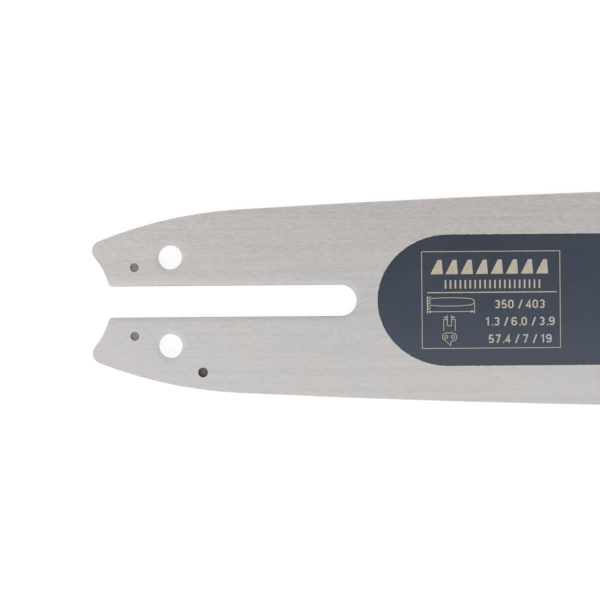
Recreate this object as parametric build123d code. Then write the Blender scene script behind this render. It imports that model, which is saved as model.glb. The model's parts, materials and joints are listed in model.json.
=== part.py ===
"""Sprocket-nose guide bar of a chainsaw.

Three flat steel plates lie on each other. The core plate is cut smaller than the two side plates, so a
groove for the chain's drive links runs round the edge. A star wheel turns on loose rollers in the nose.
The bar lies on its rear face: X runs from tail to nose, Y across the bar, Z up through the plates.
"""

import math
import os

from build123d import *

# Plates
SIDE_THICKNESS = 1.3  # each outer plate
GROOVE_WIDTH = 1.3  # chain gauge, which is the thickness of the core plate
GROOVE_DEPTH = 6.0  # how far the core plate stays behind the rails
EDGE_BREAK = 0.15  # small bevel round the outer face of a side plate

# Outline, with lengths measured along the bar from the tips of the tail horns
BAR_LENGTH = 403.0
MAX_WIDTH = 57.4
WIDEST_FROM_TAIL = 214.0
SHOULDER_FROM_TAIL = 38.0  # where the curve of the tail runs into the long rail
SHOULDER_WALL = 3.15  # at the shoulder, steel between the line of the adjuster holes and the groove
HORN_TIP_RADIUS = 2.7
HORN_SPACING = 26.6  # between the centres of the two horn tips
RECESS_RADIUS = 17.9  # hollow of the tail between the horns
NOSE_RADIUS = 17.0

# Stud slot and holes of the tail
SLOT_WIDTH = 8.1
SLOT_END_FROM_TAIL = 68.6
SLOT_MOUTH_ROUND = 0.9
ADJUSTER_HOLE_DIAMETER = 6.3
ADJUSTER_FROM_TAIL = 20.15
ADJUSTER_SPACING = 23.0
LOCATING_HOLE_DIAMETER = 2.3
LOCATING_FROM_TAIL = 10.95
LOCATING_SPACING = 17.8
OIL_HOLE_DIAMETER = 2.55
OIL_FROM_TAIL = 28.55
OIL_FROM_RAIL = 4.5  # from the edge of the plate to the middle of the hole, over the groove

# Star wheel of the nose
TOOTH_COUNT = 7
TOOTH_HEIGHT = 2.0  # how far a tooth stands out past the nose rail
TOOTH_TIP_WIDTH = 3.0
TOOTH_TIP_ROUND = 0.5
GULLET_FLARE = 33.0  # degrees between a tooth flank and the middle of its gullet
SPROCKET_WEB = 3.0  # steel between the bore and the bottom of a gullet
SPROCKET_SIDE_CLEARANCE = 0.05
SPROCKET_TIP_CLEARANCE = 0.6  # from the tooth tips to the core plate

# Roller bearing of the star wheel
RACE_RADIUS = 5.25
ROLLER_DIAMETER = 2.0
ROLLER_CLEARANCE = 0.02  # radial, on the inner and on the outer track
ROLLER_GAP = 0.05  # least gap between neighbouring rollers
ROLLER_END_CLEARANCE = 0.04

# Flush rivets through the inner race
RIVET_COUNT = 4
RIVET_CIRCLE_RADIUS = 3.0
RIVET_DIAMETER = 2.0
RIVET_HEAD_DIAMETER = 3.0
RIVET_CLEARANCE = 0.02

STACK = 2 * SIDE_THICKNESS + GROOVE_WIDTH
MIDDLE_Z = STACK / 2
SHOULDER_WIDTH = ADJUSTER_SPACING + ADJUSTER_HOLE_DIAMETER + 2 * (SHOULDER_WALL + GROOVE_DEPTH)
TIP_RADIUS = NOSE_RADIUS + TOOTH_HEIGHT
TAIL_X = -(BAR_LENGTH + TOOTH_HEIGHT) / 2
NOSE_X = TAIL_X + BAR_LENGTH - NOSE_RADIUS
ROLLER_PITCH_RADIUS = RACE_RADIUS + ROLLER_CLEARANCE + ROLLER_DIAMETER / 2
SPROCKET_BORE_RADIUS = ROLLER_PITCH_RADIUS + ROLLER_DIAMETER / 2 + ROLLER_CLEARANCE
ROLLER_STEP = 2 * math.asin((ROLLER_DIAMETER + ROLLER_GAP) / (2 * ROLLER_PITCH_RADIUS))
ROLLER_COUNT = int(2 * math.pi / ROLLER_STEP)

# Centres of the arcs that make up the upper long edge, each tangent to the next
horn_centre = Vector(TAIL_X + HORN_TIP_RADIUS, HORN_SPACING / 2)
recess_reach = RECESS_RADIUS + HORN_TIP_RADIUS
recess_centre = Vector(horn_centre.X - math.sqrt(recess_reach**2 - horn_centre.Y**2), 0)
nose_centre = Vector(NOSE_X, 0)

widest = Vector(TAIL_X + WIDEST_FROM_TAIL, MAX_WIDTH / 2)
shoulder = Vector(TAIL_X + SHOULDER_FROM_TAIL, SHOULDER_WIDTH / 2)
belly_rise = widest - shoulder
belly_radius = belly_rise.dot(belly_rise) / (2 * belly_rise.Y)
belly_centre = widest - Vector(0, belly_radius)

shoulder_outward = (shoulder - belly_centre).normalized()
horn_to_shoulder = shoulder - horn_centre
shoulder_lift = horn_to_shoulder.dot(shoulder_outward) - HORN_TIP_RADIUS
shoulder_radius = (horn_to_shoulder.length**2 - HORN_TIP_RADIUS**2) / (2 * shoulder_lift)
shoulder_centre = shoulder - shoulder_outward * shoulder_radius
horn_outward = (horn_centre - shoulder_centre).normalized()

taper_run = NOSE_X - widest.X
taper_drop = widest.Y - NOSE_RADIUS
taper_radius = (taper_run**2 + widest.Y**2 - NOSE_RADIUS**2) / (2 * taper_drop)
taper_centre = widest - Vector(0, taper_radius)


def point_from(centre, towards, radius):
    """Point on a circle, in the direction of a vector."""
    return centre + towards.normalized() * radius


def arc_about(centre, radius, start, end):
    """Shorter arc about a centre between two points on its circle."""
    middle = point_from(centre, (start - centre) + (end - centre), radius)
    return ThreePointArc(start, middle, end)


def long_edge(inset):
    """Upper edge from beside the horn to the nose, moved inwards by inset."""
    tail_end = shoulder_centre + horn_outward * (shoulder_radius - inset)
    belly_start = belly_centre + shoulder_outward * (belly_radius - inset)
    belly_end = widest - Vector(0, inset)
    taper_end = point_from(taper_centre, nose_centre - taper_centre, taper_radius - inset)
    return [
        arc_about(shoulder_centre, shoulder_radius - inset, tail_end, belly_start),
        arc_about(belly_centre, belly_radius - inset, belly_start, belly_end),
        arc_about(taper_centre, taper_radius - inset, belly_end, taper_end),
    ]


def both_edges(upper):
    """Upper edges with their mirror images below the bar's axis."""
    return upper + [mirror(edge, about=Plane.XZ) for edge in upper]


def nose_arc(upper):
    """Arc round the nose that joins the front ends of the two long edges."""
    start = upper[-1] @ 1
    tip = Vector(NOSE_X + (start - nose_centre).length, 0)
    return ThreePointArc(start, tip, Vector(start.X, -start.Y))


def plate_outline():
    """Outline of a side plate: rails, rounded nose, and a hollow tail between two horns."""
    upper = long_edge(0)
    horn_inside = point_from(horn_centre, recess_centre - horn_centre, HORN_TIP_RADIUS)
    horn = arc_about(horn_centre, HORN_TIP_RADIUS, horn_inside, upper[0] @ 0)
    recess_end = Vector(horn_inside.X, -horn_inside.Y)
    recess = arc_about(recess_centre, RECESS_RADIUS, horn_inside, recess_end)
    return make_face(both_edges([horn] + upper) + [nose_arc(upper), recess])


def groove_floor():
    """Area inside the bottom of the chain groove, running out straight past the tail."""
    upper = long_edge(GROOVE_DEPTH)
    tail_end = upper[0] @ 0
    past_tail = tail_end - (upper[0] % 0) * (tail_end.X - recess_centre.X)
    run_out = Line(past_tail, tail_end)
    closing = Line(past_tail, Vector(past_tail.X, -past_tail.Y))
    return make_face(both_edges([run_out] + upper) + [nose_arc(upper), closing])


def across_axis(spacing, from_tail, diameter):
    """Two round holes, one on each side of the bar's axis."""
    x = TAIL_X + from_tail
    return [Pos(x, side * spacing / 2) * Circle(diameter / 2) for side in (1, -1)]


def cut_tail(face):
    """Cut the open stud slot and the two adjuster holes, which pass through all three plates."""
    slot_start = recess_centre.X
    slot_end_centre = TAIL_X + SLOT_END_FROM_TAIL - SLOT_WIDTH / 2
    slot_length = slot_end_centre - slot_start
    slot = Pos(slot_start + slot_length / 2, 0) * Rectangle(slot_length, SLOT_WIDTH)
    slot += Pos(slot_end_centre, 0) * Circle(SLOT_WIDTH / 2)
    face -= slot
    for hole in across_axis(ADJUSTER_SPACING, ADJUSTER_FROM_TAIL, ADJUSTER_HOLE_DIAMETER):
        face -= hole
    mouth_x = recess_centre.X + RECESS_RADIUS
    mouth = [v for v in face.vertices() if abs(v.Y) < SLOT_WIDTH and v.X < mouth_x]
    return fillet(mouth, SLOT_MOUTH_ROUND)


def rivet_places():
    """Places of the rivets round the nose axis, clear of the bar's own axis."""
    return PolarLocations(RIVET_CIRCLE_RADIUS, RIVET_COUNT, start_angle=180 / RIVET_COUNT)


def rivet_body(clearance):
    """Rivet with a flush conical head in each side plate, or the hole for one with its clearance."""
    shank = RIVET_DIAMETER / 2 + clearance
    head = RIVET_HEAD_DIAMETER / 2 + clearance
    side = Polyline(
        (0, -MIDDLE_Z),
        (head, -MIDDLE_Z),
        (shank, SIDE_THICKNESS - MIDDLE_Z),
        (shank, MIDDLE_Z - SIDE_THICKNESS),
        (head, MIDDLE_Z),
        (0, MIDDLE_Z),
        close=True,
    )
    return revolve(Plane.XZ * make_face(side), axis=Axis.Z)


def rivet_set(clearance):
    """All rivets of the nose, or all their holes."""
    place = Pos(NOSE_X, 0, MIDDLE_Z)
    return [place * spot * rivet_body(clearance) for spot in rivet_places()]


def oil_place():
    """Middle of the oil hole, a set way in from the lower rail where the tail curves."""
    x = TAIL_X + OIL_FROM_TAIL
    rise = math.sqrt(shoulder_radius**2 - (x - shoulder_centre.X) ** 2)
    return Pos(x, OIL_FROM_RAIL - shoulder_centre.Y - rise)


def front_side_plate():
    """Front plate: bevelled outer edges, blind locating holes, and an oil hole into the lower groove."""
    face = cut_tail(plate_outline())
    for hole in across_axis(LOCATING_SPACING, LOCATING_FROM_TAIL, LOCATING_HOLE_DIAMETER):
        face -= hole
    face -= oil_place() * Circle(OIL_HOLE_DIAMETER / 2)
    plate = extrude(Pos(0, 0, STACK - SIDE_THICKNESS) * face, SIDE_THICKNESS)
    outer_face = plate.faces().sort_by(Axis.Z)[-1]
    plate = chamfer(outer_face.outer_wire().edges(), EDGE_BREAK)
    for hole in rivet_set(RIVET_CLEARANCE):
        plate -= hole
    return plate


def rear_side_plate(front):
    """Rear plate: the same pressing turned over about the bar's axis, so its oil hole is above."""
    return Pos(0, 0, MIDDLE_Z) * Rot(180, 0, 0) * Pos(0, 0, -MIDDLE_Z) * front


def core_plate():
    """Core plate: forms the groove floor, and ends in a hollow that clears the star wheel."""
    face = cut_tail(groove_floor() & plate_outline())
    face -= Pos(NOSE_X, 0) * Circle(TIP_RADIUS + SPROCKET_TIP_CLEARANCE)
    return extrude(Pos(0, 0, SIDE_THICKNESS) * face, GROOVE_WIDTH)


def gullet():
    """Gap between two teeth: a round seat for a drive link that opens outwards along straight flanks."""
    flare = math.radians(GULLET_FLARE)
    corner_angle = math.pi / TOOTH_COUNT - TOOTH_TIP_WIDTH / (2 * TIP_RADIUS)
    corner_x = TIP_RADIUS * math.cos(corner_angle)
    corner_y = TIP_RADIUS * math.sin(corner_angle)
    floor_x = SPROCKET_BORE_RADIUS + SPROCKET_WEB
    seat_space = corner_y * math.cos(flare) - (corner_x - floor_x) * math.sin(flare)
    seat_radius = seat_space / (1 - math.sin(flare))
    seat = Pos(floor_x + seat_radius, 0) * Circle(seat_radius)
    mouth_radius = seat_radius + TIP_RADIUS * math.sin(flare)
    mouth = Pos(floor_x + seat_radius + TIP_RADIUS, 0) * Circle(mouth_radius)
    return make_hull(seat.edges() + mouth.edges())


def nose_sprocket():
    """Star wheel between the side plates, with one tooth pointing forward."""
    face = Sketch() + Circle(TIP_RADIUS)
    for index in range(TOOTH_COUNT):
        face -= Rot(0, 0, 360 * (index + 0.5) / TOOTH_COUNT) * gullet()
    tips = [v for v in face.vertices() if Vector(v).length > TIP_RADIUS - TOOTH_TIP_ROUND]
    face = fillet(tips, TOOTH_TIP_ROUND)
    face -= Circle(SPROCKET_BORE_RADIUS)
    thickness = GROOVE_WIDTH - 2 * SPROCKET_SIDE_CLEARANCE
    return Pos(NOSE_X, 0, MIDDLE_Z) * extrude(face, thickness / 2, both=True)


def bearing_race():
    """Inner race, held between the side plates by the rivets."""
    race = Pos(NOSE_X, 0, MIDDLE_Z) * Cylinder(RACE_RADIUS, GROOVE_WIDTH)
    for hole in rivet_set(RIVET_CLEARANCE):
        race -= hole
    return race


def bearing_roller(index):
    """One loose roller of the full ring between the race and the star wheel."""
    length = GROOVE_WIDTH - 2 * ROLLER_END_CLEARANCE
    roller = Cylinder(ROLLER_DIAMETER / 2, length)
    spin = Rot(0, 0, 360 * index / ROLLER_COUNT)
    return Pos(NOSE_X, 0, MIDDLE_Z) * spin * Pos(ROLLER_PITCH_RADIUS, 0) * roller


front = front_side_plate()
nodes = {
    "front_side_plate": front,
    "core_plate": core_plate(),
    "rear_side_plate": rear_side_plate(front),
    "nose_sprocket": nose_sprocket(),
    "bearing_race": bearing_race(),
    "nose_rivets": Compound(children=rivet_set(0)),
}
for index in range(ROLLER_COUNT):
    nodes[f"bearing_roller_{index + 1:02d}"] = bearing_roller(index)

os.makedirs("parts", exist_ok=True)
for name, shape in nodes.items():
    export_step(shape, f"parts/{name}.step")
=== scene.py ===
"""Chainsaw guide bar with a sprocket nose, lying on its plain side with the painted side up.

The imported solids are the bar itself. This script gives each of them its finish and adds what is
printed on the front plate: a slate panel, its ruled frame, and the signs, numbers and rows in it.
"""
import json
import math

import bmesh
import bpy
from mathutils import Matrix, Vector, noise


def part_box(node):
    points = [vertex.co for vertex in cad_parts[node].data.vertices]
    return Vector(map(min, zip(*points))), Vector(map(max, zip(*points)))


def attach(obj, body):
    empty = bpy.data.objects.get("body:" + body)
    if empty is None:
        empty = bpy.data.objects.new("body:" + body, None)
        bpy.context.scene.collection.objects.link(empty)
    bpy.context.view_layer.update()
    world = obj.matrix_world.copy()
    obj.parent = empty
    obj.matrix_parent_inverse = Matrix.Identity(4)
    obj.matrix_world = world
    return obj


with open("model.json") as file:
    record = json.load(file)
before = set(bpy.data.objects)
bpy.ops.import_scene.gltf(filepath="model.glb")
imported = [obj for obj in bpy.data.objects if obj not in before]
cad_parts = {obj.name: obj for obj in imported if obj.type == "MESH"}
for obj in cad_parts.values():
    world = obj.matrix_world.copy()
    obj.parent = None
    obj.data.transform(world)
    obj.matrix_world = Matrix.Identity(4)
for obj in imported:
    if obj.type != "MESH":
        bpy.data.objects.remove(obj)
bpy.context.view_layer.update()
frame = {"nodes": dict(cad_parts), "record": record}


# Core plate: the middle sheet of the three, whose edge is the floor of the chain groove.
# Cold-rolled steel, spot-welded between the side plates, and dull with the oil that the
# chain carries round. Its flat faces are darker than its cut edge, partly oil stain and partly
# painted shade. Its grain runs along the bar, as the sheet was rolled.
nodes_of_bar = frame["nodes"]
noise_low = 0.3
noise_high = 0.7
seed_spread = (1.0, 1.7, 2.3)


def start_finish(name):
    """A new material, with its node tree and its shader."""
    finish = bpy.data.materials.new(name)
    finish.use_nodes = True
    tree = finish.node_tree
    return finish, tree, tree.nodes["Principled BSDF"]


def add_streaks(tree, length, width, seed, detail=3.0):
    """Noise drawn out along the bar into streaks of about this length and width, in metres."""
    where = tree.nodes.new("ShaderNodeTexCoord")
    draw_out = tree.nodes.new("ShaderNodeMapping")
    draw_out.inputs["Location"].default_value = [seed * spread for spread in seed_spread]
    draw_out.inputs["Scale"].default_value = (1 / length, 1 / width, 1 / width)
    streaks = tree.nodes.new("ShaderNodeTexNoise")
    streaks.inputs["Scale"].default_value = 1.0
    streaks.inputs["Detail"].default_value = detail
    tree.links.new(where.outputs["Object"], draw_out.inputs["Vector"])
    tree.links.new(draw_out.outputs["Vector"], streaks.inputs["Vector"])
    return streaks.outputs["Fac"]


def add_blotches(tree, size, seed, detail=2.0):
    """Noise of one size in every direction, for stains and uneven tone."""
    return add_streaks(tree, size, size, seed, detail)


def blend_values(tree, first, second, share):
    """Two patterns mixed, with this share of the second."""
    mix = tree.nodes.new("ShaderNodeMix")
    mix.inputs["Factor"].default_value = share
    tree.links.new(first, mix.inputs["A"])
    tree.links.new(second, mix.inputs["B"])
    return mix.outputs["Result"]


def between_tones(tree, pattern, dark, light):
    """The colour that a noise pattern gives between a dark and a light tone."""
    ramp = tree.nodes.new("ShaderNodeValToRGB")
    dark_end, light_end = ramp.color_ramp.elements
    dark_end.position = noise_low
    dark_end.color = (*dark, 1)
    light_end.position = noise_high
    light_end.color = (*light, 1)
    tree.links.new(pattern, ramp.inputs["Fac"])
    return ramp.outputs["Color"]


def between_levels(tree, pattern, at_low, at_high, low=noise_low, high=noise_high):
    """The number that a pattern gives, at_low where it is low and at_high where it is high."""
    levels = tree.nodes.new("ShaderNodeMapRange")
    levels.inputs["From Min"].default_value = low
    levels.inputs["From Max"].default_value = high
    levels.inputs["To Min"].default_value = at_low
    levels.inputs["To Max"].default_value = at_high
    tree.links.new(pattern, levels.inputs["Value"])
    return levels.outputs["Result"]


def fade_out(tree, pattern, start, end):
    """One where a pattern is below start, and nought where it is past end."""
    return between_levels(tree, pattern, at_low=1.0, at_high=0.0, low=start, high=end)


def lay_over(tree, under, over, share):
    """One colour laid over another, as far as a pattern says."""
    layer = tree.nodes.new("ShaderNodeMix")
    layer.data_type = "RGBA"
    tree.links.new(share, layer.inputs["Factor"])
    tree.links.new(under, layer.inputs["A"])
    tree.links.new(over, layer.inputs["B"])
    return layer.outputs["Result"]


def reckon(tree, operation, first, second=0.0):
    """Arithmetic on a pattern, with a number or another pattern as the second term."""
    step = tree.nodes.new("ShaderNodeMath")
    step.operation = operation
    tree.links.new(first, step.inputs[0])
    if isinstance(second, float):
        step.inputs[1].default_value = second
    else:
        tree.links.new(second, step.inputs[1])
    return step.outputs["Value"]


def size_of(tree, value):
    """The value without its sign."""
    return reckon(tree, "ABSOLUTE", value)


def how_level(tree):
    """One on a face that lies flat, and nought on an upright wall."""
    where = tree.nodes.new("ShaderNodeTexCoord")
    facing = tree.nodes.new("ShaderNodeSeparateXYZ")
    tree.links.new(where.outputs["Normal"], facing.inputs["Vector"])
    return size_of(tree, facing.outputs["Z"])


def on_walls(tree):
    """One on an upright wall, and nought on a face that lies flat or is bevelled."""
    return fade_out(tree, how_level(tree), start=0.3, end=0.6)


def dress_surface(tree, shader, tone, roughness, metal):
    """Give the shader its tone and roughness, and its share of bare metal."""
    tree.links.new(tone, shader.inputs["Base Color"])
    tree.links.new(roughness, shader.inputs["Roughness"])
    shader.inputs["Metallic"].default_value = metal


def raise_surface(tree, height, strength, depth):
    """A bump from a height pattern, its depth in metres."""
    bump = tree.nodes.new("ShaderNodeBump")
    bump.inputs["Strength"].default_value = strength
    bump.inputs["Distance"].default_value = depth
    tree.links.new(height, bump.inputs["Height"])
    return bump


def roughen(tree, shader, height, strength, depth):
    """Bump on the shader from a height pattern, its depth in metres."""
    bump = raise_surface(tree, height, strength, depth)
    tree.links.new(bump.outputs["Normal"], shader.inputs["Normal"])
    return bump


def give_finish(node_name, finish):
    """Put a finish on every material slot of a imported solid."""
    for holder in nodes_of_bar[node_name].material_slots:
        holder.material = finish


core_finish, tree, shader = start_finish("core_plate_steel")
rolled_grain = add_streaks(tree, length=0.012, width=0.0003, seed=4.1)
oil_stain = add_blotches(tree, size=0.005, seed=7.3)
core_pattern = blend_values(tree, rolled_grain, oil_stain, share=0.55)
# The dark tone of the flat faces is oil stain together with painted shade.
core_oil_and_painted_shade_tone = between_tones(tree, core_pattern, dark=(0.15, 0.147, 0.138), light=(0.36, 0.355, 0.34))
cut_tone = between_tones(tree, rolled_grain, dark=(0.46, 0.45, 0.44), light=(0.62, 0.61, 0.60))
tone = lay_over(tree, core_oil_and_painted_shade_tone, cut_tone, on_walls(tree))
roughness = between_levels(tree, oil_stain, at_low=0.34, at_high=0.55)
dress_surface(tree, shader, tone, roughness, metal=0.85)
roughen(tree, shader, rolled_grain, strength=0.2, depth=0.00003)
give_finish("core_plate", core_finish)


# Side plates: the two outer sheets, blanked from spring steel, welded over the core and ground
# along the bar on a belt, which bit harder towards the upper rail. The punch rolled the edges of
# slot and adjuster holes. Cut walls are bright. The groove faces carry an oil tint darkened with
# painted shade, and the bores of the oil holes are near-black painted shade.
plate_low, plate_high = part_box("front_side_plate")
tail = plate_low.x
lower_rail = plate_low.y
plate_face = plate_high.z
middle_height = plate_face / 2
inner_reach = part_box("core_plate")[1].z - middle_height
long_scratch = {"length": 0.040, "width": 0.00045, "seed": 1.3, "detail": 4.0}
short_scratch = {"length": 0.0016, "width": 0.00023, "seed": 9.7, "detail": 4.0}
hair_scratch = {"length": 0.0011, "width": 0.00009, "seed": 2.2, "detail": 2.0}
full_bite = 0.014
middle_level = 0.5
oil_creep = 0.0003
bore_margin = 0.01
bore_margin_end = 0.03
roll_width = 0.0018
roll_depth = 0.00007
mounts = {mount["name"]: mount for mount in frame["record"]["mounts"]}
oil_hole = mounts["oil_hole_front"]
adjuster_hole = mounts["adjuster_hole_upper"]
stud_slot = mounts["stud_slot"]
mm_per_metre = 1000
oil_radius = oil_hole["dims"]["r_mm"] / mm_per_metre
adjuster_radius = adjuster_hole["dims"]["r_mm"] / mm_per_metre
slot_radius = stud_slot["dims"]["hole_r_mm"] / mm_per_metre


def ease_pattern(tree, pattern, strength):
    """A pattern drawn in towards its middle level, where its strength is less than one."""
    swing = reckon(tree, "SUBTRACT", pattern, middle_level)
    eased = reckon(tree, "MULTIPLY", swing, strength)
    return reckon(tree, "ADD", eased, middle_level)


def flat_place(tree, along, across):
    """A point of the bar's plane, from its places along and across the bar."""
    point = tree.nodes.new("ShaderNodeCombineXYZ")
    tree.links.new(along, point.inputs["X"])
    tree.links.new(across, point.inputs["Y"])
    return point.outputs["Vector"]


def from_hole_edge(tree, point, middle, radius):
    """How far a point is from the edge of a round hole, in metres, and below nought inside it."""
    span = tree.nodes.new("ShaderNodeVectorMath")
    span.operation = "DISTANCE"
    span.inputs[1].default_value = (middle[0], abs(middle[1]), 0.0)
    tree.links.new(point, span.inputs[0])
    return reckon(tree, "SUBTRACT", span.outputs["Value"], radius)


side_finish, tree, shader = start_finish("ground_bar_steel")
where = tree.nodes.new("ShaderNodeTexCoord")
place = tree.nodes.new("ShaderNodeSeparateXYZ")
tree.links.new(where.outputs["Object"], place.inputs["Vector"])
long_scratches = add_streaks(tree, **long_scratch)
short_scratches = add_streaks(tree, **short_scratch)
hair_scratches = add_streaks(tree, **hair_scratch)
belt_bands = add_streaks(tree, length=0.060, width=0.0016, seed=5.9)
broad_scratches = blend_values(tree, long_scratches, short_scratches, share=0.76)
all_scratches = blend_values(tree, broad_scratches, hair_scratches, share=0.3)
belt_bite = between_levels(
    tree, place.outputs["Y"], at_low=0.55, at_high=1.06, low=lower_rail, high=full_bite)
ground_skin = ease_pattern(tree, all_scratches, belt_bite)
side_pattern = blend_values(tree, ground_skin, belt_bands, share=0.14)
face_tone = between_tones(
    tree, side_pattern, dark=(0.400, 0.390, 0.381), light=(0.612, 0.598, 0.585))
warm_tone = between_tones(
    tree, side_pattern, dark=(0.408, 0.384, 0.373), light=(0.624, 0.589, 0.573))
handled = add_blotches(tree, size=0.034, seed=17.1)
is_warm = between_levels(tree, handled, at_low=0.0, at_high=1.0, low=0.45, high=0.62)
edge_tone = between_tones(tree, ground_skin, dark=(0.53, 0.52, 0.51), light=(0.70, 0.69, 0.68))
is_edge = fade_out(tree, how_level(tree), start=0.80, end=0.95)

# Between the plates the faces take an oil tint with painted shade, which creeps a little way out,
# and the bores of the oil holes take near-black painted shade.
oil_and_shade_mottle = add_blotches(tree, size=0.004, seed=3.3)
# Groove faces: a brownish oil tint, darkened with painted shade.
groove_oil_and_painted_shade_tone = between_tones(tree, oil_and_shade_mottle, dark=(0.155, 0.117, 0.115), light=(0.185, 0.143, 0.141))
# Oil-hole bores: near-black painted shade on the bore walls.
painted_bore_shade_tone = between_tones(tree, oil_and_shade_mottle, dark=(0.012, 0.010, 0.010), light=(0.030, 0.024, 0.024))
from_middle = reckon(tree, "SUBTRACT", place.outputs["Z"], middle_height)
off_middle = size_of(tree, from_middle)
is_inside = fade_out(tree, off_middle, start=inner_reach, end=inner_reach + oil_creep)
off_axis = size_of(tree, place.outputs["Y"])
beside_axis = flat_place(tree, place.outputs["X"], off_axis)
from_oil_hole = from_hole_edge(tree, beside_axis, oil_hole["pos_m"], oil_radius)
near_oil_hole = fade_out(
    tree, from_oil_hole, start=oil_radius * bore_margin, end=oil_radius * bore_margin_end)
is_oil_bore = reckon(tree, "MULTIPLY", near_oil_hole, on_walls(tree))

# The rolled edges dip towards the nearest cut, whether that is the slot or an adjuster hole.
from_adjuster = from_hole_edge(tree, beside_axis, adjuster_hole["pos_m"], adjuster_radius)
past_slot_end = reckon(tree, "SUBTRACT", place.outputs["X"], stud_slot["pos_m"][0])
beside_slot = flat_place(tree, reckon(tree, "MAXIMUM", past_slot_end, 0.0), off_axis)
from_slot = from_hole_edge(tree, beside_slot, (0.0, 0.0), slot_radius)
from_cut = reckon(tree, "MINIMUM", from_slot, from_adjuster)
roll = fade_out(tree, from_cut, start=0.0, end=roll_width)
rounded_roll = reckon(tree, "MULTIPLY", roll, roll)
rolled_edge = raise_surface(tree, rounded_roll, strength=1.0, depth=roll_depth)
rolled_edge.invert = True

tone = lay_over(tree, face_tone, warm_tone, is_warm)
tone = lay_over(tree, tone, edge_tone, is_edge)
# Painted shade between the plates and in the oil-hole bores is laid over the face tone here.
tone = lay_over(tree, tone, groove_oil_and_painted_shade_tone, is_inside)
tone = lay_over(tree, tone, painted_bore_shade_tone, is_oil_bore)
roughness = between_levels(tree, ground_skin, at_low=0.34, at_high=0.46)
dress_surface(tree, shader, tone, roughness, metal=1.0)
scratch_bump = roughen(tree, shader, ground_skin, strength=0.20, depth=0.00002)
tree.links.new(rolled_edge.outputs["Normal"], scratch_bump.inputs["Normal"])
give_finish("front_side_plate", side_finish)
give_finish("rear_side_plate", side_finish)


# Bearing race and rollers: the fixed ring in the nose and the rollers that run round it.
# Through-hardened bearing steel, ground and polished, with a trace of old grease.
bearing_finish, tree, shader = start_finish("polished_bearing_steel")
grease_film = add_blotches(tree, size=0.0016, seed=2.9)
polish_marks = add_blotches(tree, size=0.00025, seed=6.1)
tone = between_tones(tree, grease_film, dark=(0.42, 0.40, 0.37), light=(0.64, 0.64, 0.64))
roughness = between_levels(tree, grease_film, at_low=0.34, at_high=0.16)
dress_surface(tree, shader, tone, roughness, metal=1.0)
roughen(tree, shader, polish_marks, strength=0.08, depth=0.00001)
give_finish("bearing_race", bearing_finish)
for node_name in nodes_of_bar:
    if node_name.startswith("bearing_roller"):
        give_finish(node_name, bearing_finish)


# Star wheel: the toothed wheel in the nose that carries the chain round. Stamped from alloy
# steel and hardened, so it is darker than the plates, with a blue-brown cast from the quench.
wheel_finish, tree, shader = start_finish("hardened_wheel_steel")
quench_cast = add_blotches(tree, size=0.007, seed=3.7)
stamped_skin = add_blotches(tree, size=0.0005, seed=8.3, detail=3.0)
wheel_pattern = blend_values(tree, quench_cast, stamped_skin, share=0.35)
tone = between_tones(tree, wheel_pattern, dark=(0.20, 0.17, 0.15), light=(0.37, 0.37, 0.385))
roughness = between_levels(tree, stamped_skin, at_low=0.30, at_high=0.46)
dress_surface(tree, shader, tone, roughness, metal=1.0)
roughen(tree, shader, stamped_skin, strength=0.15, depth=0.00003)
give_finish("nose_sprocket", wheel_finish)


# Nose rivets: four steel rivets through the side plates and the race. Their heads are pressed
# into countersinks and ground flush with the plates, so they show as slightly duller discs.
rivet_finish, tree, shader = start_finish("flush_rivet_steel")
press_marks = add_blotches(tree, size=0.0007, seed=5.3, detail=3.0)
ground_over = add_streaks(tree, **short_scratch)
rivet_pattern = blend_values(tree, press_marks, ground_over, share=0.5)
tone = between_tones(tree, rivet_pattern, dark=(0.33, 0.32, 0.31), light=(0.55, 0.54, 0.53))
roughness = between_levels(tree, press_marks, at_low=0.30, at_high=0.50)
dress_surface(tree, shader, tone, roughness, metal=1.0)
roughen(tree, shader, rivet_pattern, strength=0.2, depth=0.00003)
give_finish("nose_rivets", rivet_finish)


# Painted panel: a long slate-blue field with round ends, screen-printed on the ground face of
# the front plate. The film is thin enough for the grain of the steel to show through it.
panel_start = tail + 0.0739
panel_end = tail + 0.3290
panel_middle = -0.0002
panel_half_height = 0.01704
panel_end_reach = 0.0185
panel_end_steps = 48
paint_film = 0.00003
film_root = 0.00002
edge_step = 0.0004
edge_wave = 0.0011
edge_wander = 0.00009
straight_edge = math.radians(0.05)
speck = 0.000002


def add_slab(shape, outline, low, high):
    """A flat film from height low to height high, its outline given anticlockwise from above."""
    under = [shape.verts.new((x, y, low)) for x, y in outline]
    over = [shape.verts.new((x, y, high)) for x, y in outline]
    shape.faces.new(over)
    shape.faces.new(under[::-1])
    for here, there in zip(range(len(outline)), [*range(1, len(outline)), 0]):
        shape.faces.new((under[here], under[there], over[there], over[here]))


def arc_points(middle, radius, start, end, steps, reach=None):
    """Points on an arc from one angle to another, in degrees; reach is its radius along the bar."""
    reach = reach or radius
    turns = [math.radians(start + (end - start) * step / steps) for step in range(steps + 1)]
    return [(middle[0] + reach * math.cos(t), middle[1] + radius * math.sin(t)) for t in turns]


def screen_edge(outline):
    """The outline in short steps and a little uneven, as the mesh of a print screen leaves it."""
    points = [Vector(point) for point in outline]
    uneven = []
    travelled = 0.0
    for here, there in zip(points, points[1:] + points[:1]):
        run = there - here
        outward = Vector((run.y, -run.x)).normalized()
        steps = max(1, round(run.length / edge_step))
        for step in range(steps):
            wave = (travelled + run.length * step / steps) / edge_wave
            wander = edge_wander * noise.noise((wave, 0.0, 0.0))
            uneven.append(here + run * (step / steps) + outward * wander)
        travelled += run.length
    return uneven


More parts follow.
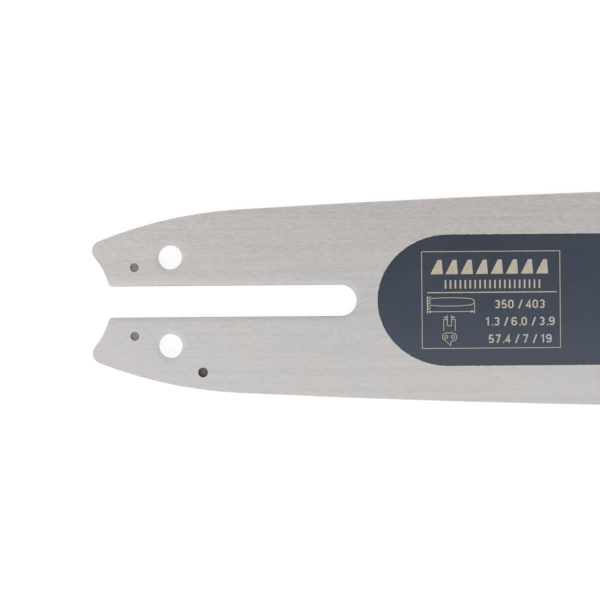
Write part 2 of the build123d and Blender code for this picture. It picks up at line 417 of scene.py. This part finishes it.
def join_strokes(piece):
    """Make one film of the strokes of a print, with no specks or spare points along its edges."""
    merge = piece.modifiers.new("merge", "BOOLEAN")
    merge.operation = "UNION"
    merge.solver = "EXACT"
    merge.operand_type = "COLLECTION"
    merge.collection = bpy.data.collections.new("nothing_else")
    merge.use_self = True
    joined = piece.evaluated_get(bpy.context.evaluated_depsgraph_get())
    strokes = piece.data
    piece.data = bpy.data.meshes.new_from_object(joined)
    bpy.data.collections.remove(merge.collection)
    piece.modifiers.remove(merge)
    bpy.data.meshes.remove(strokes)
    film = bmesh.new()
    film.from_mesh(piece.data)
    bmesh.ops.dissolve_degenerate(film, dist=speck, edges=film.edges)
    bmesh.ops.dissolve_limit(film, angle_limit=straight_edge, verts=film.verts, edges=film.edges)
    bmesh.ops.triangulate(film, faces=film.faces, ngon_method="BEAUTY")
    film.to_mesh(piece.data)
    film.free()


def lay_on_bar(name, shape, finish):
    """Make a printed piece from a shape and fix it to the bar."""
    mesh = bpy.data.meshes.new(name + "_strokes")
    shape.to_mesh(mesh)
    shape.free()
    mesh.materials.append(finish)
    piece = bpy.data.objects.new(name, mesh)
    bpy.context.collection.objects.link(piece)
    join_strokes(piece)
    piece.data.name = name
    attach(piece, "bar")


paint_finish, tree, shader = start_finish("slate_panel_paint")
grain_under = add_streaks(tree, **long_scratch)
uneven_coat = add_blotches(tree, size=0.012, seed=8.9)
paint_pattern = blend_values(tree, grain_under, uneven_coat, share=0.5)
tone = between_tones(tree, paint_pattern, dark=(0.028, 0.034, 0.050), light=(0.036, 0.043, 0.061))
roughness = between_levels(tree, uneven_coat, at_low=0.14, at_high=0.18)
dress_surface(tree, shader, tone, roughness, metal=0.0)
shader.inputs["Specular IOR Level"].default_value = 0.62
shader.inputs["Specular Tint"].default_value = (0.72, 0.86, 1.0, 1)
roughen(tree, shader, grain_under, strength=0.05, depth=0.00002)

panel_shape = bmesh.new()
nose_end = (panel_end - panel_end_reach, panel_middle)
tail_end = (panel_start + panel_end_reach, panel_middle)
panel_outline = [
    *arc_points(nose_end, panel_half_height, -90, 90, panel_end_steps, panel_end_reach),
    *arc_points(tail_end, panel_half_height, 90, 270, panel_end_steps, panel_end_reach),
]
add_slab(panel_shape, screen_edge(panel_outline), plate_face - film_root, plate_face + paint_film)
lay_on_bar("painted_panel", panel_shape, paint_finish)


# Ruled frame: the thin line round the signs near the tail end of the panel, and the rule
# across it. Cream ink, screen-printed over the slate paint in one pass with the other marks.
frame_start = tail + 0.0854
frame_end = tail + 0.1212
frame_half_height = 0.01253
frame_middle = -0.00013
frame_corner = 0.0001
rule_start = tail + 0.0868
rule_end = tail + 0.1203
rule_height = 0.00179
frame_line = 0.00018
rule_line = 0.00026
corner_steps = 6
sharpest_mitre = 0.5
ink_film = 0.00002
ink_root = 0.00001
ink_low = plate_face + paint_film - ink_root
ink_high = plate_face + paint_film + ink_film


def add_line(shape, path, width, closed=False):
    """A printed line of even width along a path of x, y points, mitred at its corners."""
    points = [Vector(point) for point in path]
    last = len(points) - 1
    corners = []
    for place, point in enumerate(points):
        before = points[place - 1] if closed or place > 0 else None
        after = points[(place + 1) % len(points)] if closed or place < last else None
        way_in = (point - before).normalized() if before else (after - point).normalized()
        way_out = (after - point).normalized() if after else way_in
        along = (way_in + way_out).normalized()
        mitre = max(sharpest_mitre, along.dot(way_in))
        across = Vector((-along.y, along.x)) * (width / 2 / mitre)
        left = point + across
        right = point - across
        corners.append([shape.verts.new((*side, height)) for side, height in (
            (left, ink_low), (right, ink_low), (right, ink_high), (left, ink_high))])
    runs = list(zip(corners, corners[1:] + corners[:1]))
    for here, there in runs if closed else runs[:-1]:
        for side, other in ((0, 1), (1, 2), (2, 3), (3, 0)):
            shape.faces.new((here[side], there[side], there[other], here[other]))
    if not closed:
        shape.faces.new(corners[0])
        shape.faces.new(corners[-1][::-1])


ink_finish, tree, shader = start_finish("cream_print_ink")
ink_density = add_blotches(tree, size=0.0012, seed=4.7, detail=3.0)
screen_grain = add_blotches(tree, size=0.00018, seed=1.9)
ink_pattern = blend_values(tree, ink_density, screen_grain, share=0.4)
tone = between_tones(tree, ink_pattern, dark=(0.400, 0.343, 0.268), light=(0.535, 0.473, 0.387))
roughness = between_levels(tree, ink_density, at_low=0.40, at_high=0.55)
dress_surface(tree, shader, tone, roughness, metal=0.0)
roughen(tree, shader, screen_grain, strength=0.15, depth=0.00001)

frame_shape = bmesh.new()
left_turn = frame_start + frame_corner
right_turn = frame_end - frame_corner
low_turn = frame_middle - frame_half_height + frame_corner
high_turn = frame_middle + frame_half_height - frame_corner
frame_path = [
    *arc_points((right_turn, low_turn), frame_corner, -90, 0, corner_steps),
    *arc_points((right_turn, high_turn), frame_corner, 0, 90, corner_steps),
    *arc_points((left_turn, high_turn), frame_corner, 90, 180, corner_steps),
    *arc_points((left_turn, low_turn), frame_corner, 180, 270, corner_steps),
]
add_line(frame_shape, frame_path, frame_line, closed=True)
add_line(frame_shape, [(rule_start, rule_height), (rule_end, rule_height)], rule_line)
lay_on_bar("printed_frame", frame_shape, ink_finish)


# Bar sign: a small side view of a guide bar against the hatched edge of the saw body, with its
# length marked underneath by a line with two arrow heads. Cream ink, printed with the frame.
sign_line = 0.00017
body_line = 0.00022
hatch_line = 0.00022
stroke_lap = 0.00002
arrow_length = 0.00080
arrow_half_width = 0.00036
body_edge = tail + 0.0868
bar_sign_root = tail + 0.0877
bar_sign_tip = tail + 0.0990
bar_sign_middle = -0.00063
bar_sign_half_height = 0.00088
bar_sign_nose = 0.0017
bar_sign_bow = 0.00020
body_top = 0.00085
hatch_count = 5
hatch_pitch = 0.00071
hatch_reach = 0.00086
hatch_rise = 0.00060
hatch_start = -0.0027
mark_foot = -0.0037
length_mark = -0.00315


def bow_points(start, end, rise, steps=10):
    """Points on a shallow bow from one point to another, this much proud in its middle."""
    shares = [step / steps for step in range(steps + 1)]
    return [(start[0] + (end[0] - start[0]) * part,
             start[1] + (end[1] - start[1]) * part + 4 * rise * part * (1 - part))
            for part in shares]


def add_arrow(shape, tip, root_x, length=arrow_length):
    """A filled arrow head that points along the bar, with the rest of its line up to root_x."""
    way = math.copysign(1, root_x - tip[0])
    point = (tip[0] - way * stroke_lap, tip[1])
    neck = tip[0] + way * length
    barbs = [(neck, tip[1] - way * arrow_half_width), (neck, tip[1] + way * arrow_half_width)]
    add_slab(shape, [point, *barbs], ink_low, ink_high)
    add_line(shape, [(neck - way * length / 2, tip[1]), (root_x, tip[1])], sign_line)


bar_sign = bmesh.new()
add_line(bar_sign, [(body_edge, body_top), (body_edge, mark_foot)], body_line)
for hatch in range(hatch_count):
    hatch_foot = (body_edge, hatch_start + hatch_pitch * hatch)
    hatch_head = (hatch_foot[0] + hatch_reach, hatch_foot[1] + hatch_rise)
    add_line(bar_sign, [hatch_foot, hatch_head], hatch_line)
upper_root = (bar_sign_root, bar_sign_middle + bar_sign_half_height)
lower_root = (bar_sign_root, bar_sign_middle - bar_sign_half_height)
nose_root = (bar_sign_tip - bar_sign_nose, bar_sign_middle)
upper_end = (nose_root[0], upper_root[1])
lower_end = (nose_root[0], lower_root[1])
bar_sign_path = [
    *bow_points(upper_root, upper_end, bar_sign_bow)[:-1],
    *arc_points(nose_root, bar_sign_half_height, 90, -90, steps=12, reach=bar_sign_nose),
    *bow_points(lower_end, lower_root, -bar_sign_bow)[1:],
]
add_line(bar_sign, bar_sign_path, sign_line)
add_line(bar_sign, [(bar_sign_tip, bar_sign_middle), (bar_sign_tip, mark_foot)], sign_line)
length_middle = (body_edge + bar_sign_tip) / 2
add_arrow(bar_sign, (body_edge + body_line / 2, length_mark), length_middle)
add_arrow(bar_sign, (bar_sign_tip - sign_line / 2, length_mark), length_middle)
lay_on_bar("printed_bar_sign", bar_sign, ink_finish)


# Groove sign: a section through the chain groove, two walls with the channel between them and
# an arrow on each side that points at its width. Cream ink, printed with the frame.
sign_middle = tail + 0.09248
groove_half_outside = 0.00150
groove_half_inside = 0.00054
groove_mouth = -0.0041
groove_top = -0.0052
groove_floor = -0.00685
groove_corner = 0.00025
groove_foot = -0.0081
groove_arrow = -0.00462
groove_arrow_length = 0.00040

groove_sign = bmesh.new()
for hand in (-1, 1):
    outside = sign_middle + hand * groove_half_outside
    inside = sign_middle + hand * (groove_half_inside + sign_line / 2)
    wall_path = [(outside, groove_foot), (outside, groove_top), (inside, groove_top)]
    add_line(groove_sign, wall_path, sign_line)
    add_arrow(groove_sign, (inside, groove_arrow), outside, groove_arrow_length)
left_wall = sign_middle - groove_half_inside
right_wall = sign_middle + groove_half_inside
corner_height = groove_floor + groove_corner
left_corner = (left_wall + groove_corner, corner_height)
right_corner = (right_wall - groove_corner, corner_height)
channel_path = [
    (left_wall, groove_mouth),
    *arc_points(left_corner, groove_corner, 180, 270, corner_steps),
    *arc_points(right_corner, groove_corner, 270, 360, corner_steps),
    (right_wall, groove_mouth),
]
add_line(groove_sign, channel_path, sign_line)
lay_on_bar("printed_groove_sign", groove_sign, ink_finish)


# Link sign: the outline of one drive link, with a round back, two rivet holes and the hooked
# tang that runs in the groove. It stands under the groove sign, in the same cream ink.
link_lobe = 0.00099
link_lobe_spacing = 0.00174
link_lobe_height = -0.00972
link_lobe_end = 200
link_rivet_hole = 0.00040
link_back_bow = 0.00013
tang_fillet = 0.00057
tang_height = -0.01195


def ring_points(middle, radius, count=24):
    """Points spaced evenly all round a circle."""
    return arc_points(middle, radius, 0, 360 * (count - 1) / count, count - 1)


link_sign = bmesh.new()
left_lobe = (sign_middle - link_lobe_spacing / 2, link_lobe_height)
right_lobe = (sign_middle + link_lobe_spacing / 2, link_lobe_height)
fillet_middle = (right_lobe[0], link_lobe_height - link_lobe - tang_fillet)
tang_tip = (fillet_middle[0] - tang_fillet, tang_height)
right_back = (right_lobe[0], link_lobe_height + link_lobe)
left_back = (left_lobe[0], right_back[1])
link_path = [
    tang_tip,
    *arc_points(fillet_middle, tang_fillet, 180, 90, corner_steps)[:-1],
    *arc_points(right_lobe, link_lobe, -90, 90, steps=14),
    *bow_points(right_back, left_back, link_back_bow)[1:-1],
    *arc_points(left_lobe, link_lobe, 90, link_lobe_end, steps=12),
]
add_line(link_sign, link_path, sign_line, closed=True)
for lobe in (left_lobe, right_lobe):
    add_line(link_sign, ring_points(lobe, link_rivet_hole), sign_line, closed=True)
lay_on_bar("printed_link_sign", link_sign, ink_finish)


# Size numbers: plain figures beside the signs, for the lengths of the bar, the sizes of its
# groove and plates, and its width with the counts of teeth and rollers. Cream ink, printed with
# the frame. Each figure is drawn by strokes of one pen in a cell of height one.
number_middle = tail + 0.1109
figure_height = 0.00215
figure_width = 0.00236
figure_pen = 0.00037
figure_rows = {
    "350 / 403": -0.00130,
    "1.3 / 6.0 / 3.9": -0.00576,
    "57.4 / 7 / 19": -0.01026,
}
narrow_steps = {" ": 0.34, ".": 0.34, "/": 0.52, "1": 0.62}
plain_step = 0.74
figure_top = 0.93
bowl = 0.22
top_bowl = (0.29, 0.71)
low_bowl = (0.29, 0.29)
ring = 0.24
top_ring = (0.29, 0.69)
low_ring = (0.29, 0.31)
figure_loops = {
    "0": [*arc_points(top_bowl, bowl, 0, 180, steps=10),
          *arc_points(low_bowl, bowl, 180, 360, steps=10)],
    "6": ring_points(low_ring, ring),
    "9": ring_points(top_ring, ring),
}
figure_strokes = {
    "1": [[(0.12, 0.73), (0.32, figure_top), (0.32, 0.0)]],
    "3": [arc_points(top_bowl, bowl, 150, -85, steps=12),
          arc_points(low_bowl, bowl, 85, -150, steps=12)],
    "4": [[(0.42, 0.0), (0.42, figure_top), (0.07, 0.28), (0.58, 0.28)]],
    "5": [[(0.50, figure_top), (0.15, figure_top), (0.10, 0.50),
           *arc_points(low_ring, ring, 125, -150, steps=12)]],
    "6": [[(0.05, 0.31), *arc_points(top_ring, ring, 180, 30, steps=12)]],
    "7": [[(0.05, figure_top), (0.52, figure_top), (0.22, 0.0)]],
    "9": [[(0.53, 0.69), *arc_points(low_ring, ring, 0, -150, steps=12)]],
    ".": [[(0.10, 0.07), (0.24, 0.07)]],
    "/": [[(0.08, -0.04), (0.44, 1.0)]],
}


def draw_stroke(shape, stroke, pen_x, pen_y, closed):
    """One stroke of a figure, with the cell's lower left corner at the pen."""
    path = [(pen_x + figure_width * x, pen_y + figure_height * y) for x, y in stroke]
    add_line(shape, path, figure_pen, closed)


number_shape = bmesh.new()
for figures, row_middle in figure_rows.items():
    steps = [narrow_steps.get(figure, plain_step) for figure in figures]
    pen_x = number_middle - figure_width * sum(steps) / 2
    pen_y = row_middle - figure_height / 2
    for figure, step in zip(figures, steps):
        if figure in figure_loops:
            draw_stroke(number_shape, figure_loops[figure], pen_x, pen_y, closed=True)
        for stroke in figure_strokes.get(figure, []):
            draw_stroke(number_shape, stroke, pen_x, pen_y, closed=False)
        pen_x += figure_width * step
lay_on_bar("printed_numbers", number_shape, ink_finish)


# Tooth row and tick row: the head of the printed frame, a row of plain raked saw teeth over a
# row of upright ticks, as on a rule. Each mark is a film of cream ink, printed with the frame.
tooth_row_middle = (tail + 0.1029, 0.0084)
tooth_sizes = {
    "Count": 8, "Pitch": 0.0039, "Foot Width": 0.0032, "Crown Width": 0.0010,
    "Height": 0.0037, "Rake": 0.0008,
}
tick_row_middle = (tail + 0.1037, 0.0039)
tick_sizes = {
    "Count": 20, "Pitch": 0.00128, "Foot Width": 0.00042, "Crown Width": 0.00042,
    "Height": 0.0022, "Rake": 0.0,
}
seam_gap = 1e-6

mark_row = bpy.data.node_groups.new("printed_mark_row", "GeometryNodeTree")
row_inputs = {}
for label, kind in (
    ("Count", "NodeSocketInt"), ("Pitch", "NodeSocketFloat"), ("Foot Width", "NodeSocketFloat"),
    ("Crown Width", "NodeSocketFloat"), ("Height", "NodeSocketFloat"), ("Rake", "NodeSocketFloat"),
    ("Ink Film", "NodeSocketFloat"), ("Ink", "NodeSocketMaterial"),
):
    socket = mark_row.interface.new_socket(label, in_out="INPUT", socket_type=kind)
    row_inputs[label] = socket.identifier
mark_row.interface.new_socket("Marks", in_out="OUTPUT", socket_type="NodeSocketGeometry")
given = mark_row.nodes.new("NodeGroupInput")
made = mark_row.nodes.new("NodeGroupOutput")
step_along = mark_row.nodes.new("ShaderNodeCombineXYZ")
places = mark_row.nodes.new("GeometryNodeMeshLine")
mark_outline = mark_row.nodes.new("GeometryNodeCurvePrimitiveQuadrilateral")
mark_outline.mode = "TRAPEZOID"
mark_face = mark_row.nodes.new("GeometryNodeFillCurve")
mark_face.mode = "NGONS"
raise_film = mark_row.nodes.new("GeometryNodeExtrudeMesh")
under_face = mark_row.nodes.new("GeometryNodeFlipFaces")
whole_mark = mark_row.nodes.new("GeometryNodeJoinGeometry")
close_seams = mark_row.nodes.new("GeometryNodeMergeByDistance")
close_seams.inputs["Distance"].default_value = seam_gap
repeat_mark = mark_row.nodes.new("GeometryNodeInstanceOnPoints")
own_mesh = mark_row.nodes.new("GeometryNodeRealizeInstances")
ink_over = mark_row.nodes.new("GeometryNodeSetMaterial")
for out_socket, in_socket in (
    (given.outputs["Pitch"], step_along.inputs["X"]),
    (given.outputs["Count"], places.inputs["Count"]),
    (step_along.outputs["Vector"], places.inputs["Offset"]),
    (given.outputs["Foot Width"], mark_outline.inputs["Bottom Width"]),
    (given.outputs["Crown Width"], mark_outline.inputs["Top Width"]),
    (given.outputs["Height"], mark_outline.inputs["Height"]),
    (given.outputs["Rake"], mark_outline.inputs["Offset"]),
    (mark_outline.outputs["Curve"], mark_face.inputs["Curve"]),
    (mark_face.outputs["Mesh"], raise_film.inputs["Mesh"]),
    (given.outputs["Ink Film"], raise_film.inputs["Offset Scale"]),
    (mark_face.outputs["Mesh"], under_face.inputs["Mesh"]),
    (raise_film.outputs["Mesh"], whole_mark.inputs["Geometry"]),
    (under_face.outputs["Mesh"], whole_mark.inputs["Geometry"]),
    (whole_mark.outputs["Geometry"], close_seams.inputs["Geometry"]),
    (places.outputs["Mesh"], repeat_mark.inputs["Points"]),
    (close_seams.outputs["Geometry"], repeat_mark.inputs["Instance"]),
    (repeat_mark.outputs["Instances"], own_mesh.inputs["Geometry"]),
    (own_mesh.outputs["Geometry"], ink_over.inputs["Geometry"]),
    (given.outputs["Ink"], ink_over.inputs["Material"]),
    (ink_over.outputs["Geometry"], made.inputs["Marks"]),
):
    mark_row.links.new(out_socket, in_socket)


def print_row(name, middle, sizes):
    """A row of marks of these sizes, centred on a point of the panel."""
    holder = bpy.data.objects.new(name + "_row", bpy.data.meshes.new(name + "_row"))
    bpy.context.collection.objects.link(holder)
    row = holder.modifiers.new("row", "NODES")
    row.node_group = mark_row
    for label, size in sizes.items():
        row[row_inputs[label]] = size
    row[row_inputs["Ink Film"]] = ink_high - ink_low
    row[row_inputs["Ink"]] = ink_finish
    drawn = holder.evaluated_get(bpy.context.evaluated_depsgraph_get())
    mesh = bpy.data.meshes.new_from_object(drawn)
    half_row = sizes["Pitch"] * (sizes["Count"] - 1) / 2
    mesh.transform(Matrix.Translation((middle[0] - half_row, middle[1], ink_low)))
    shape = bmesh.new()
    shape.from_mesh(mesh)
    bmesh.ops.recalc_face_normals(shape, faces=shape.faces)
    holder.modifiers.remove(row)
    bpy.data.objects.remove(holder)
    bpy.data.meshes.remove(mesh)
    lay_on_bar(name, shape, ink_finish)


print_row("printed_tooth_row", tooth_row_middle, tooth_sizes)
print_row("printed_tick_row", tick_row_middle, tick_sizes)


# Floor: a plain pale table that the bar lies on. It is white to the camera and in reflections,
# and a part of that white is ordinary lit surface, so the shadow of the bar still shows. From
# underneath it is clear, so that the rear of the bar can be looked at.
floor_level = -0.0002
floor_reach = 3.0
floor_tiles = 8
floor_grey = (0.22, 0.22, 0.22, 1)
floor_roughness = 0.9
floor_glow = 0.84
white = (1, 1, 1, 1)


def seen_directly(tree):
    """One for rays from the camera, a reflection or a clear surface, and nought for the rest."""
    path = tree.nodes.new("ShaderNodeLightPath")
    by_camera = path.outputs["Is Camera Ray"]
    camera_or_glossy = reckon(tree, "MAXIMUM", by_camera, path.outputs["Is Glossy Ray"])
    return reckon(tree, "MAXIMUM", camera_or_glossy, path.outputs["Is Transmission Ray"])


floor_shape = bmesh.new()
bmesh.ops.create_grid(floor_shape, x_segments=floor_tiles, y_segments=floor_tiles, size=floor_reach)
bmesh.ops.translate(floor_shape, verts=floor_shape.verts, vec=(0, 0, floor_level))
floor_mesh = bpy.data.meshes.new("pale_floor")
floor_shape.to_mesh(floor_mesh)
floor_shape.free()
pale_floor = bpy.data.objects.new("pale_floor", floor_mesh)
bpy.context.collection.objects.link(pale_floor)

floor_finish, tree, shader = start_finish("pale_floor")
shader.inputs["Base Color"].default_value = floor_grey
shader.inputs["Roughness"].default_value = floor_roughness
shader.inputs["Specular IOR Level"].default_value = 0.0
shader.inputs["Emission Color"].default_value = white
glow = reckon(tree, "MULTIPLY", seen_directly(tree), floor_glow)
tree.links.new(glow, shader.inputs["Emission Strength"])
side_seen = tree.nodes.new("ShaderNodeNewGeometry")
clear_glass = tree.nodes.new("ShaderNodeBsdfTransparent")
one_way_floor = tree.nodes.new("ShaderNodeMixShader")
tree.links.new(side_seen.outputs["Backfacing"], one_way_floor.inputs["Fac"])
tree.links.new(shader.outputs["BSDF"], one_way_floor.inputs[1])
tree.links.new(clear_glass.outputs["BSDF"], one_way_floor.inputs[2])
tree.links.new(one_way_floor.outputs["Shader"], tree.nodes["Material Output"].inputs["Surface"])
floor_mesh.materials.append(floor_finish)


# Studio light: a white room with a dimmer ceiling, a broad soft box on the near side, smaller
# ones over the tail and the nose, and a narrow strip on the far side. The room lights the bar
# less than it shows in reflections, so that the soft boxes shape the light.
room_for_light = 0.60
room_for_eyes = 1.0
ceiling_for_eyes = 0.45
ceiling_start = 0.35
ceiling_full = 0.95

room = bpy.data.worlds.new("white_room")
bpy.context.scene.world = room
room.use_nodes = True
tree = room.node_tree
walls = tree.nodes["Background"]
look = tree.nodes.new("ShaderNodeTexCoord")
height_of_look = tree.nodes.new("ShaderNodeSeparateXYZ")
tree.links.new(look.outputs["Generated"], height_of_look.inputs["Vector"])
ceiling = between_levels(
    tree, height_of_look.outputs["Z"], room_for_eyes, ceiling_for_eyes, ceiling_start, ceiling_full)
room_level = tree.nodes.new("ShaderNodeMix")
room_level.inputs["A"].default_value = room_for_light
tree.links.new(seen_directly(tree), room_level.inputs["Factor"])
tree.links.new(ceiling, room_level.inputs["B"])
tree.links.new(room_level.outputs["Result"], walls.inputs["Strength"])
walls.inputs["Color"].default_value = white


def hang_soft_box(name, middle, aim, width, depth, power):
    """A soft box of this width and depth in metres, hung at a point and aimed at another."""
    lamp = bpy.data.lights.new(name, "AREA")
    lamp.shape = "RECTANGLE"
    lamp.size = width
    lamp.size_y = depth
    lamp.energy = power
    box = bpy.data.objects.new(name, lamp)
    box.location = middle
    box.rotation_euler = (Vector(aim) - Vector(middle)).to_track_quat("-Z", "Y").to_euler()
    bpy.context.collection.objects.link(box)


hang_soft_box("near_soft_box", middle=(-0.10, -0.62, 1.10), aim=(-0.10, -0.62, 0.0),
              width=1.7, depth=1.2, power=6.45)
hang_soft_box("tail_soft_box", middle=(-0.70, 0.24, 1.10), aim=(-0.70, 0.24, 0.0),
              width=0.8, depth=1.2, power=2.55)
hang_soft_box("nose_soft_box", middle=(0.50, 0.25, 1.10), aim=(0.50, 0.25, 0.0),
              width=0.8, depth=1.2, power=0.55)
hang_soft_box("far_strip", middle=(0.10, 1.00, 0.80), aim=(0.0, 0.0, 0.0),
              width=1.6, depth=0.35, power=1.2)


# Camera: a long lens straight above the tail half of the bar, turned a little, as in the
# photograph. Its height follows from the width of the bar's face that fills the picture.
view_along = tail + 0.05381
view_across = 0.00017
view_width = 0.15544
view_lens = 105.0
view_sensor = 36.0
view_turn = -0.458
nearest_view = 0.01

camera_data = bpy.data.cameras.new("bench_camera")
camera_data.lens = view_lens
camera_data.sensor_width = view_sensor
camera_data.clip_start = nearest_view
camera = bpy.data.objects.new("bench_camera", camera_data)
camera.location = (view_along, view_across, plate_face + view_width * view_lens / view_sensor)
camera.rotation_euler = (0.0, 0.0, math.radians(view_turn))
bpy.context.collection.objects.link(camera)
bpy.context.scene.camera = camera
bpy.context.scene.view_settings.view_transform = "Standard"
